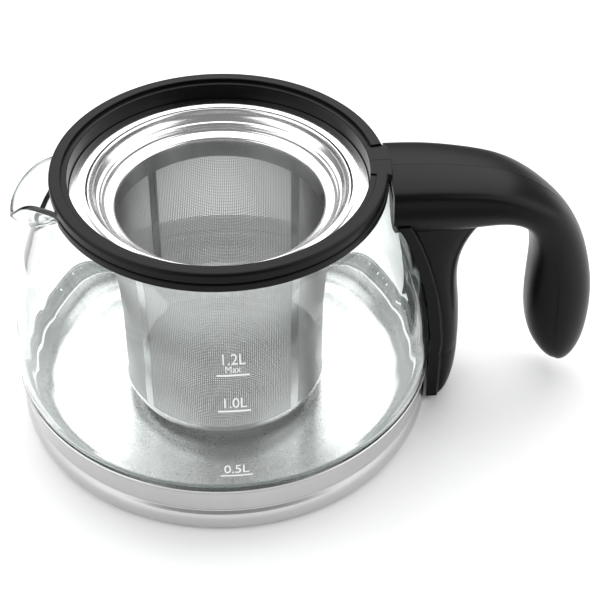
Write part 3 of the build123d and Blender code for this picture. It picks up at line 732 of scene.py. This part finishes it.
class JUG_OT_infuser(bpy.types.Operator):
    """Funnel, cup and plain strips of the infuser"""
    bl_idname = "tea_jug.infuser"
    bl_label = "Infuser sheet"

    def execute(self, context):
        funnel = thick_line(path_through(FUNNEL_LINE, 150), -STEEL)
        turned_piece("funnel_sheet", funnel, INFUSER, "infuser", ["infuser_funnel"],
                     sharp=50.0)
        cup = thick_line(path_through(CUP_LINE, 40), STEEL)
        turned_piece("cup_sheet", cup, INFUSER, "infuser", ["infuser_cup"], sharp=50.0)
        strip_half = context.scene.jug_mesh.strip / MM / 2 / WALL_R
        outline = rounded(oblong(WALL_R - STRIP_RISE, WALL_R + STRIP_RISE, WALL_LOW, WALL_HIGH), 0.1, 3)
        for k, middle in enumerate(STRIP_ANGLES):
            turned_piece(f"wall_strip_{k + 1}", outline, INFUSER, "infuser", ["infuser_wall"],
                         math.radians(middle) - strip_half, 2 * strip_half, 9)
        seam = SEAM_FOLD / WALL_R
        outline = rounded(oblong(WALL_R - SEAM_RISE, WALL_R + SEAM_RISE, WALL_LOW, WALL_HIGH), 0.15, 3)
        for k, side in enumerate((-1.0, 1.0)):
            start = math.radians(STRIP_ANGLES[0]) + side * SEAM_SIDE / WALL_R - seam / 2
            turned_piece(f"seam_fold_{k + 1}", outline, INFUSER, "infuser", ["infuser_seam"],
                         start, seam, 5)
        return {"FINISHED"}


def lattice(name, place, rows, cols, share, keep=None):
    """Sheet with one square hole in each cell of a grid. place(u, v, w) gives the point at column u,
    row v and face w, 0 outside and 1 inside. Each face of a cell is four quads from its corners to
    its hole's corners; four more line the hole, and the sheet's edges are closed."""
    def corners(w):
        v, u = np.meshgrid(np.arange(rows + 1.0), np.arange(cols + 1.0), indexing="ij")
        return place(u, v, w).reshape(-1, 3)

    def holes(w):
        v, u = np.meshgrid(np.arange(rows) + 0.5, np.arange(cols) + 0.5, indexing="ij")
        du = np.array([-0.5, 0.5, 0.5, -0.5]) * share
        dv = np.array([-0.5, -0.5, 0.5, 0.5]) * share
        return place(u[..., None] + du, v[..., None] + dv, w).reshape(-1, 3)

    n_corner, n_hole = (rows + 1) * (cols + 1), rows * cols * 4
    i, j = np.meshgrid(np.arange(rows), np.arange(cols), indexing="ij")
    used = np.ones((rows, cols), bool) if keep is None else keep
    i, j = i[used], j[used]
    square = np.stack([i * (cols + 1) + j, i * (cols + 1) + j + 1, (i + 1) * (cols + 1) + j + 1,
                       (i + 1) * (cols + 1) + j], -1)
    hole = ((i * cols + j) * 4)[:, None] + np.arange(4) + n_corner
    layer = n_corner + n_hole
    following = np.roll(np.arange(4), -1)
    quads = []
    for base, flip in ((0, 1), (layer, -1)):
        ring = np.stack([square, square[:, following], hole[:, following], hole], -1) + base
        quads.append(ring.reshape(-1, 4)[:, ::flip])
    lining = np.stack([hole, hole[:, following], hole[:, following] + layer, hole + layer], -1)
    quads.append(lining.reshape(-1, 4))
    beside = np.pad(used, 1)
    for row, col, a, b in ((-1, 0, 0, 1), (0, 1, 1, 2), (1, 0, 2, 3), (0, -1, 3, 0)):
        open_side = ~beside[1 + row:1 + row + rows, 1 + col:1 + col + cols][used]
        edge = square[open_side]
        quads.append(np.stack([edge[:, b], edge[:, a], edge[:, a] + layer, edge[:, b] + layer], -1))
    faces = np.concatenate(quads)
    points = np.concatenate([corners(0), holes(0), corners(1), holes(1)])
    live, faces = np.unique(faces, return_inverse=True)
    return mesh_object(name, points[live] * MM, faces.reshape(-1, 4).tolist())


DISC_R = 30.4
DISC_Z = 7.65


class JUG_OT_perforation(bpy.types.Operator):
    """Perforated wall panels and perforated bottom of the infuser"""
    bl_idname = "tea_jug.perforation"
    bl_label = "Perforated sheet"

    def execute(self, context):
        mesh = context.scene.jug_mesh
        pitch, sheet, share = mesh.pitch / MM, mesh.sheet / MM, mesh.open_share
        strip = (mesh.strip / MM - 0.6) / WALL_R
        span = TURN / 4 - strip
        cols = int(round(span * WALL_R / pitch))
        rows = int(round((WALL_HIGH - WALL_LOW) / pitch))
        for k, middle in enumerate(STRIP_ANGLES):
            start = math.radians(middle) + strip / 2

            def place(u, v, w, start=start):
                r = WALL_R + sheet * (0.5 - w)
                angle = start + u / cols * span
                height = WALL_LOW + v / rows * (WALL_HIGH - WALL_LOW)
                return np.stack([r * np.cos(angle), r * np.sin(angle), height], -1)

            panel = lattice(f"wall_panel_{k + 1}", place, rows, cols, share)
            finish_piece(panel, INFUSER, MATERIALS["mesh"], ["infuser_wall"], sharp=30.0)
        count = int(2 * DISC_R / pitch)
        centre = (np.arange(count) + 0.5 - count / 2) * pitch
        keep = np.hypot(*np.meshgrid(centre, centre)) < DISC_R - pitch / 2

        def place_disc(u, v, w):
            x, y = (u - count / 2) * pitch, (v - count / 2) * pitch
            return np.stack([x, y, DISC_Z - sheet * (0.5 - w) + 0 * x], -1)

        disc = lattice("bottom_disc", place_disc, count, count, share, keep)
        finish_piece(disc, INFUSER, MATERIALS["mesh"], ["infuser_disc"], sharp=30.0)
        turned_piece("disc_rim", rounded(oblong(29.0, 33.2, 7.4, 7.9), 0.12, 3), INFUSER, "infuser",
                     ["infuser_disc"])
        return {"FINISHED"}


HANDLE_LINE = np.array([  # ridge, underside, half width and share of the hook's section, root to tip
    (56.0, 103.1, 56.0, 79.5, 19.5, 0.0), (75.0, 102.7, 75.0, 79.8, 19.2, 0.0),
    (91.0, 101.0, 91.5, 80.0, 18.1, 0.1), (105.0, 97.8, 103.0, 80.2, 16.8, 0.3),
    (117.0, 91.6, 110.5, 77.6, 15.4, 0.6), (127.0, 83.0, 114.6, 71.8, 14.2, 0.9),
    (134.5, 72.0, 116.8, 63.0, 13.5, 1.0), (139.8, 57.5, 117.1, 53.0, 13.2, 1.0),
    (142.7, 42.5, 117.0, 42.0, 13.2, 1.0), (143.2, 28.5, 117.8, 30.5, 12.9, 1.0),
    (141.8, 16.5, 120.8, 19.0, 11.4, 1.0), (138.2, 8.0, 127.0, 9.6, 7.6, 1.0),
    (135.9, 5.4, 130.6, 6.2, 3.6, 1.0), (134.2, 4.7, 132.6, 5.0, 0.4, 1.0)])
ARM_HALF = np.array([     # half section of the arm: across and up, in half widths and half heights
    (0.0, 1.0), (0.34, 0.975), (0.65, 0.92), (0.875, 0.79), (0.935, 0.47), (0.995, 0.13), (0.985, -0.11),
    (0.90, -0.5), (0.72, -0.84), (0.36, -0.97), (0.0, -1.0)])
HOOK_HALF = np.array([    # the same eleven points on the hook
    (0.0, 1.0), (0.34, 0.95), (0.64, 0.79), (0.86, 0.52), (0.975, 0.22), (1.0, 0.02), (0.985, -0.16),
    (0.89, -0.52), (0.68, -0.81), (0.35, -0.97), (0.0, -1.0)])
CREASE_AT = 0.6           # how far down the half section the shells end
SHELL_WALL = 0.16         # thickness of a shell as a share of its section
INNER_SHARE = 0.955       # size of the inner moulding's section beside the shells'
PARTING = 0.06            # half gap between the shells, in millimetres
ROOT_X = 61.0             # where the shells start, just outside the collar
INNER_LAP = 0.05          # how far the inner moulding runs up behind the shells
INNER_SETBACK = 1.0       # how much further out the inner moulding starts
HANDLE_STEPS = 150        # sections along the handle, and points on each half section
HALF_POINTS = 40


def handle_sections(first, last):
    """Half sections of the handle: a smooth line through the table gives ridge R, underside U,
    half width w and share q at each step; a point (a, b) of the section, between the arm's and
    the hook's by q, goes to (R+U)/2 + b (R-U)/2 in the middle plane and w a across. first and
    last say which part of the half section is kept, 0 at the ridge and 1 at the underside."""
    line = path_through(HANDLE_LINE, HANDLE_STEPS)
    share = np.linspace(0, 1, len(ARM_HALF))
    at = np.linspace(first, last, HALF_POINTS)
    arm, hook = cubic(share, ARM_HALF, at), cubic(share, HOOK_HALF, at)
    q = np.clip(line[:, 5], 0, 1)[:, None, None]
    half = arm + q * (hook - arm)
    middle = ((line[:, :2] + line[:, 2:4]) / 2)[:, None]
    rise = ((line[:, :2] - line[:, 2:4]) / 2)[:, None]
    return half, middle, rise, line[:, 4, None, None]


def section_points(half, middle, rise, wide, size, side):
    """The half section as points in space, made smaller about its middle by size and put on the
    given side."""
    flat = middle + half[..., 1:2] * rise * size
    across = side * np.maximum(half[..., 0:1] * wide * size, 0.0)
    return np.concatenate([flat[..., :1], across, flat[..., 1:]], -1)


def handle_shell(side):
    """One shell: outer half section from the ridge to the crease, and back along an inner copy."""
    parts = handle_sections(0.0, CREASE_AT)
    outer = section_points(*parts, 1.0, side)
    inner = section_points(*parts, 1.0 - SHELL_WALL, side)
    points = np.concatenate([outer, inner[:, ::-1]], 1)
    points[..., 1] = side * np.maximum(side * points[..., 1], PARTING)
    points[..., 0] = np.maximum(points[..., 0], ROOT_X)
    return points.transpose(1, 0, 2)


def handle_inside():
    """Inner moulding: closed section under the crease, slightly inside the shells' outline."""
    parts = handle_sections(CREASE_AT - INNER_LAP, 1.0)
    one = section_points(*parts, INNER_SHARE, 1.0)
    other = section_points(*parts, INNER_SHARE, -1.0)
    points = np.concatenate([one, other[:, -2::-1]], 1)
    points[..., 0] = np.maximum(points[..., 0], ROOT_X + INNER_SETBACK)
    return points.transpose(1, 0, 2)


STRUT_LINE = np.array([   # height, front reach, half width of the front, front's sharpness
    (2.6, 85.2, 16.6, 0.8), (4.2, 87.4, 17.0, 0.8), (6.6, 89.0, 17.2, 0.85), (12.5, 90.6, 17.3, 0.9),
    (22.0, 91.2, 17.3, 0.95), (34.0, 90.9, 17.3, 1.0), (46.0, 89.9, 17.2, 1.0), (57.0, 88.9, 16.9, 1.05),
    (65.0, 89.8, 16.5, 1.2), (72.5, 93.0, 16.0, 1.45), (79.0, 98.2, 15.4, 1.7), (84.0, 103.5, 15.0, 1.9),
    (88.0, 107.5, 14.6, 2.0)])
STRUT_HALF = 18.4         # half width of the plate beside the glass
STRUT_PLATE = 4.6         # thickness of the strut's edge beside the glass
STRUT_AIR = 0.35
STRUT_STEPS = 110         # level sections, and points on the back and on the front of each
BACK_POINTS = 25
FRONT_POINTS = 61
BAND_REACH = 79.75        # radius that the strut's foot passes, and its air there
BAND_AIR = 0.45
BAND_BLEND = 1.5          # height over which the back goes from glass to band
NOSE_ROUND = 0.8          # power of the front's width
NOSE_LEAD = 0.5           # the front starts this far past the plate's edge
EDGE_CUT = 0.6            # corners of the plate's edge, along and across
EDGE_SLOPE = 0.5
STEP_BACK = 0.15          # corner between plate and front
STEP_OUT = 0.35


def strut_points():
    """Closed level sections of the strut. At height z the back follows the glass at radius
    body(z) + air, the edge stands out by the plate's thickness, and the front is
    x = x0 + (front - x0) cos(t)^p, y = half sin(t)^q with q the nose's power."""
    height, front, half, sharp = path_through(STRUT_LINE, STRUT_STEPS).T
    glass_low, glass_high = BODY_CURVE[0, 1], 101.0
    back_r = body_radius(np.clip(height, glass_low, glass_high)) + STRUT_AIR
    lower = np.clip((glass_low - height) / BAND_BLEND, 0, 1)
    back_r = back_r + lower * (BAND_REACH + BAND_AIR - back_r)
    y = np.linspace(-STRUT_HALF, STRUT_HALF, BACK_POINTS)[None]
    back = np.stack([np.sqrt(back_r[:, None] ** 2 - y ** 2), y + 0 * height[:, None]], -1)
    edge_x = back[:, -1, 0] + STRUT_PLATE
    t = np.linspace(math.pi / 2, -math.pi / 2, FRONT_POINTS)[None]
    start = edge_x + NOSE_LEAD
    reach = np.maximum(front - start, NOSE_LEAD)[:, None]
    nose_x = start[:, None] + reach * np.abs(np.cos(t)) ** sharp[:, None]
    nose_y = half[:, None] * np.sign(np.sin(t)) * np.abs(np.sin(t)) ** NOSE_ROUND
    nose = np.stack([nose_x, nose_y], -1)
    side = np.stack([edge_x, STRUT_HALF + 0 * edge_x], -1)[:, None]
    step = np.stack([start - STEP_BACK, half + STEP_OUT], -1)[:, None]
    rear, fore = side - (EDGE_CUT, 0.0), side - (0.0, EDGE_SLOPE)
    flip = np.array([1.0, -1.0])
    outline = np.concatenate([back, rear, fore, step, nose, step * flip, fore * flip, rear * flip], 1)
    points = np.concatenate([outline, 0 * outline[..., :1] + height[:, None, None]], -1)
    return points.transpose(1, 0, 2)


HINGE_BLOCK = (           # the block in the notch, halved between the shells
    (53.95, 105.4, 0.4), (61.9, 105.4, 0.7), (61.9, 102.3, 0.3), (53.95, 102.3, 0.3))
BLOCK_MIDDLE_R = 57.5     # radius at which the block's width and its parting are taken
BLOCK_HALF = math.asin(8.4 / BLOCK_MIDDLE_R)
BLOCK_GAP = 0.08 / BLOCK_MIDDLE_R


class JUG_OT_handle(bpy.types.Operator):
    """Hook handle: two shells, the inner moulding, the strut and the hinge block"""
    bl_idname = "tea_jug.handle"
    bl_label = "Handle"

    def execute(self, context):
        black = MATERIALS["black"]
        section = rounded_table(HINGE_BLOCK)
        for name, side in (("front", -1.0), ("back", 1.0)):
            shell = sheet_object(f"handle_{name}_skin", handle_shell(side) * MM, True, False)
            finish_piece(shell, JUG, black, [f"handle_{name}_shell"], sharp=50.0)
            start = min(side * BLOCK_GAP, side * BLOCK_HALF)
            turned_piece(f"hinge_block_{name}", section, JUG, "black", [f"handle_{name}_shell"],
                         start, BLOCK_HALF - BLOCK_GAP, 13)
        inside = sheet_object("handle_underside", handle_inside() * MM, True, False)
        finish_piece(inside, JUG, black, ["handle_inner"], sharp=60.0)
        strut = sheet_object("handle_strut", strut_points() * MM, True, False)
        finish_piece(strut, JUG, black, ["handle_inner"], sharp=28.0)
        return {"FINISHED"}


NODE_FINISH = {
    "screw_plugs": "black", "handle_core": "hidden", "handle_screws": "hidden", "heat_plate": "plate",
    "base_seal": "silicone", "neck_gasket": "silicone", "strut_pad": "rubber"}


class JUG_OT_frame_finish(bpy.types.Operator):
    """Gives the CAD nodes that stay in view their materials"""
    bl_idname = "tea_jug.frame_finish"
    bl_label = "Frame parts"

    def execute(self, context):
        for node, key in NODE_FINISH.items():
            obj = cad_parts[node]
            obj.data.materials.clear()
            obj.data.materials.append(MATERIALS[key])
        return {"FINISHED"}


CAMERA_PLACE = Vector((-0.011426, -0.436337, 0.425857))
CAMERA_RIGHT = Vector((0.9962132, -0.0865936, 0.0077656))
CAMERA_UP = Vector((0.0513909, 0.6585534, 0.7507770))
LAMPS = (                 # name, place, size, aimed at, power
    ("top_softbox", (0.0, 0.85, 1.2), (2.6, 1.5), (0.0, 0.0, 0.05), 32.0),
    ("left_softbox", (-1.05, -0.35, 0.6), (1.5, 1.2), (0.0, 0.0, 0.05), 11.0),
    ("right_softbox", (1.05, -0.25, 0.65), (1.5, 1.2), (0.0, 0.0, 0.05), 11.0))
WORLD_GREY = 0.3          # brightness of the surroundings as light, and as seen directly
BACKDROP_GREY = 0.95
FLOOR_HALF = 3.0


class JUG_OT_stage(bpy.types.Operator):
    """Pale floor, soft studio light and the camera"""
    bl_idname = "tea_jug.stage"
    bl_label = "Stage"

    def execute(self, context):
        scene = context.scene
        settings = scene.jug_stage
        corners = np.array([(-1, -1, 0), (1, -1, 0), (1, 1, 0), (-1, 1, 0)], float) * FLOOR_HALF
        floor = mesh_object("floor", corners, [(0, 1, 2, 3)])
        matt = Finish("Pale floor", settings.floor)
        grain = matt.group("grain", Scale=60.0, Broad=3.0)
        matt.feed("Base Color", matt.blend_color(grain.outputs["Drift"], matt.shade(0.99), matt.color))
        matt.feed("Roughness", matt.blend_value(grain.outputs["Drift"], 0.55, 0.7))
        floor.data.materials.append(matt.material)
        for name, place, size, target, power in LAMPS:
            lamp = bpy.data.lights.new(name, "AREA")
            lamp.shape = "RECTANGLE"
            lamp.size, lamp.size_y = size
            lamp.energy = power
            holder = bpy.data.objects.new(name, lamp)
            holder.location = place
            aim = Vector(target) - Vector(place)
            holder.rotation_euler = aim.to_track_quat("-Z", "Y").to_euler()
            scene.collection.objects.link(holder)
        world = bpy.data.worlds.new("Studio")
        world.use_nodes = True
        tree = world.node_tree
        rays = add_node(tree, "ShaderNodeLightPath")
        shown = add_node(tree, "ShaderNodeMapRange", {"To Min": WORLD_GREY, "To Max": BACKDROP_GREY})
        tree.links.new(rays.outputs["Is Camera Ray"], shown.inputs["Value"])
        tree.links.new(shown.outputs[0], tree.nodes["Background"].inputs["Color"])
        scene.world = world
        scene.view_settings.view_transform = "Standard"
        camera = bpy.data.cameras.new("camera")
        camera.lens = settings.lens
        holder = bpy.data.objects.new("camera", camera)
        back = CAMERA_RIGHT.cross(CAMERA_UP)
        turn = Matrix((CAMERA_RIGHT, CAMERA_UP, back)).transposed().to_4x4()
        holder.matrix_world = Matrix.Translation(CAMERA_PLACE) @ turn
        scene.collection.objects.link(holder)
        scene.camera = holder
        return {"FINISHED"}


OPERATORS = (JUG_OT_finishes, JUG_OT_glass, JUG_OT_marks, JUG_OT_base, JUG_OT_collar, JUG_OT_infuser,
             JUG_OT_perforation, JUG_OT_handle, JUG_OT_frame_finish, JUG_OT_stage)
SETTINGS = {"jug_glass": JugGlassSettings, "jug_marks": JugMarkSettings, "jug_steel": JugSteelSettings,
            "jug_mesh": JugMeshSettings, "jug_plastic": JugPlasticSettings, "jug_stage": JugStageSettings}


class JUG_PT_panel(bpy.types.Panel):
    """Lists the jug's settings and building steps"""
    bl_idname = "JUG_PT_panel"
    bl_label = "Tea Jug"
    bl_space_type = "VIEW_3D"
    bl_region_type = "UI"
    bl_category = "Tea Jug"

    def draw(self, context):
        for name, kind in SETTINGS.items():
            box = self.layout.box()
            for key in kind.__annotations__:
                box.prop(getattr(context.scene, name), key)
        for operator in OPERATORS:
            self.layout.operator(operator.bl_idname)


def register():
    for kind in (*SETTINGS.values(), *OPERATORS, JUG_PT_panel):
        bpy.utils.register_class(kind)
    for name, kind in SETTINGS.items():
        setattr(bpy.types.Scene, name, PointerProperty(type=kind))


def unregister():
    for name in SETTINGS:
        delattr(bpy.types.Scene, name)
    for kind in reversed((*SETTINGS.values(), *OPERATORS, JUG_PT_panel)):
        bpy.utils.unregister_class(kind)


def main():
    register()
    for operator in OPERATORS:
        family, action = operator.bl_idname.split(".")
        getattr(getattr(bpy.ops, family), action)()


if __name__ == "__main__":
    main()
